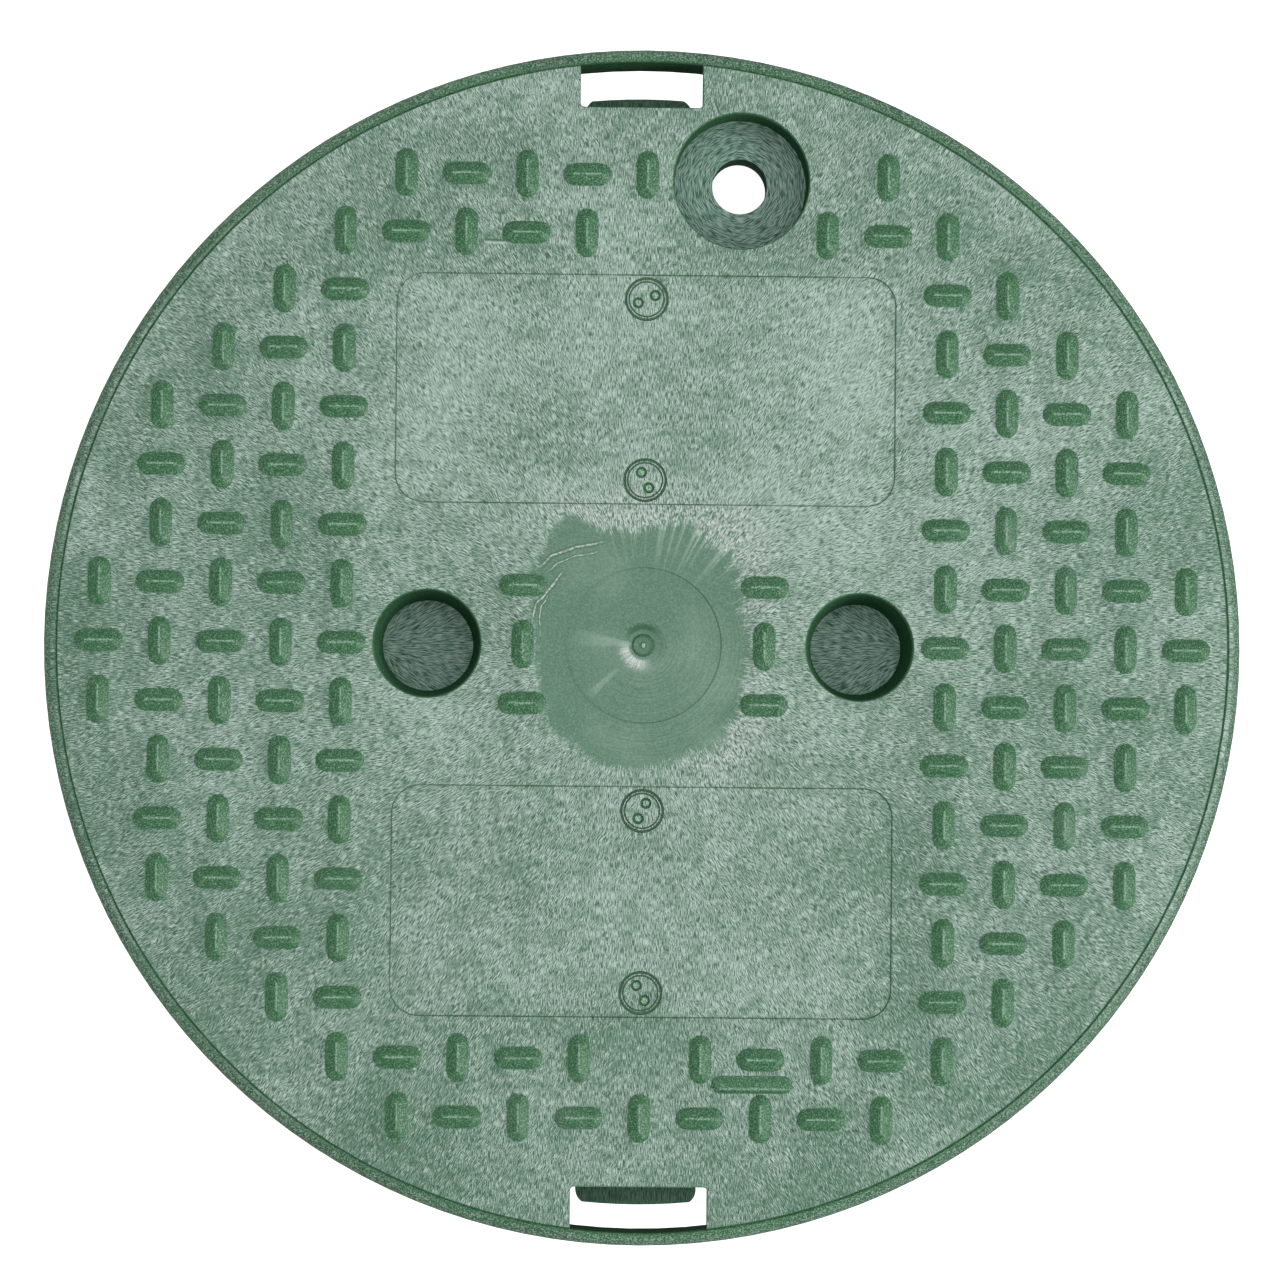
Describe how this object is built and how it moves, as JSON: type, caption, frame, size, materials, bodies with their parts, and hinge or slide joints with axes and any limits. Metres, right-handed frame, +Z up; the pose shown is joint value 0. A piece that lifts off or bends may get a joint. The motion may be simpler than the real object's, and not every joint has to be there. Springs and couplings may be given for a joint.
{
  "type": "cable pit cover",
  "caption": "Round green plastic pit cover with a raised-bar tread, lifting sockets, latch slots and a counterbored bolt hole, moulded in one piece.",
  "frame": {"origin": "on the cover's axis, in the plane of the skirt's foot", "axes": "+Z up out of the tread deck, +Y towards the slot beside the bolt recess"},
  "size_m": [0.252, 0.252, 0.0395],
  "materials": {
    "green_plastic": "moulded matt plastic in mid green with fine paler strands in the skin, smoother and darker on the bars, the rim and the socket walls"
  },
  "bodies": {
    "root": {"cover": "green_plastic"}
  },
  "joints": []
}
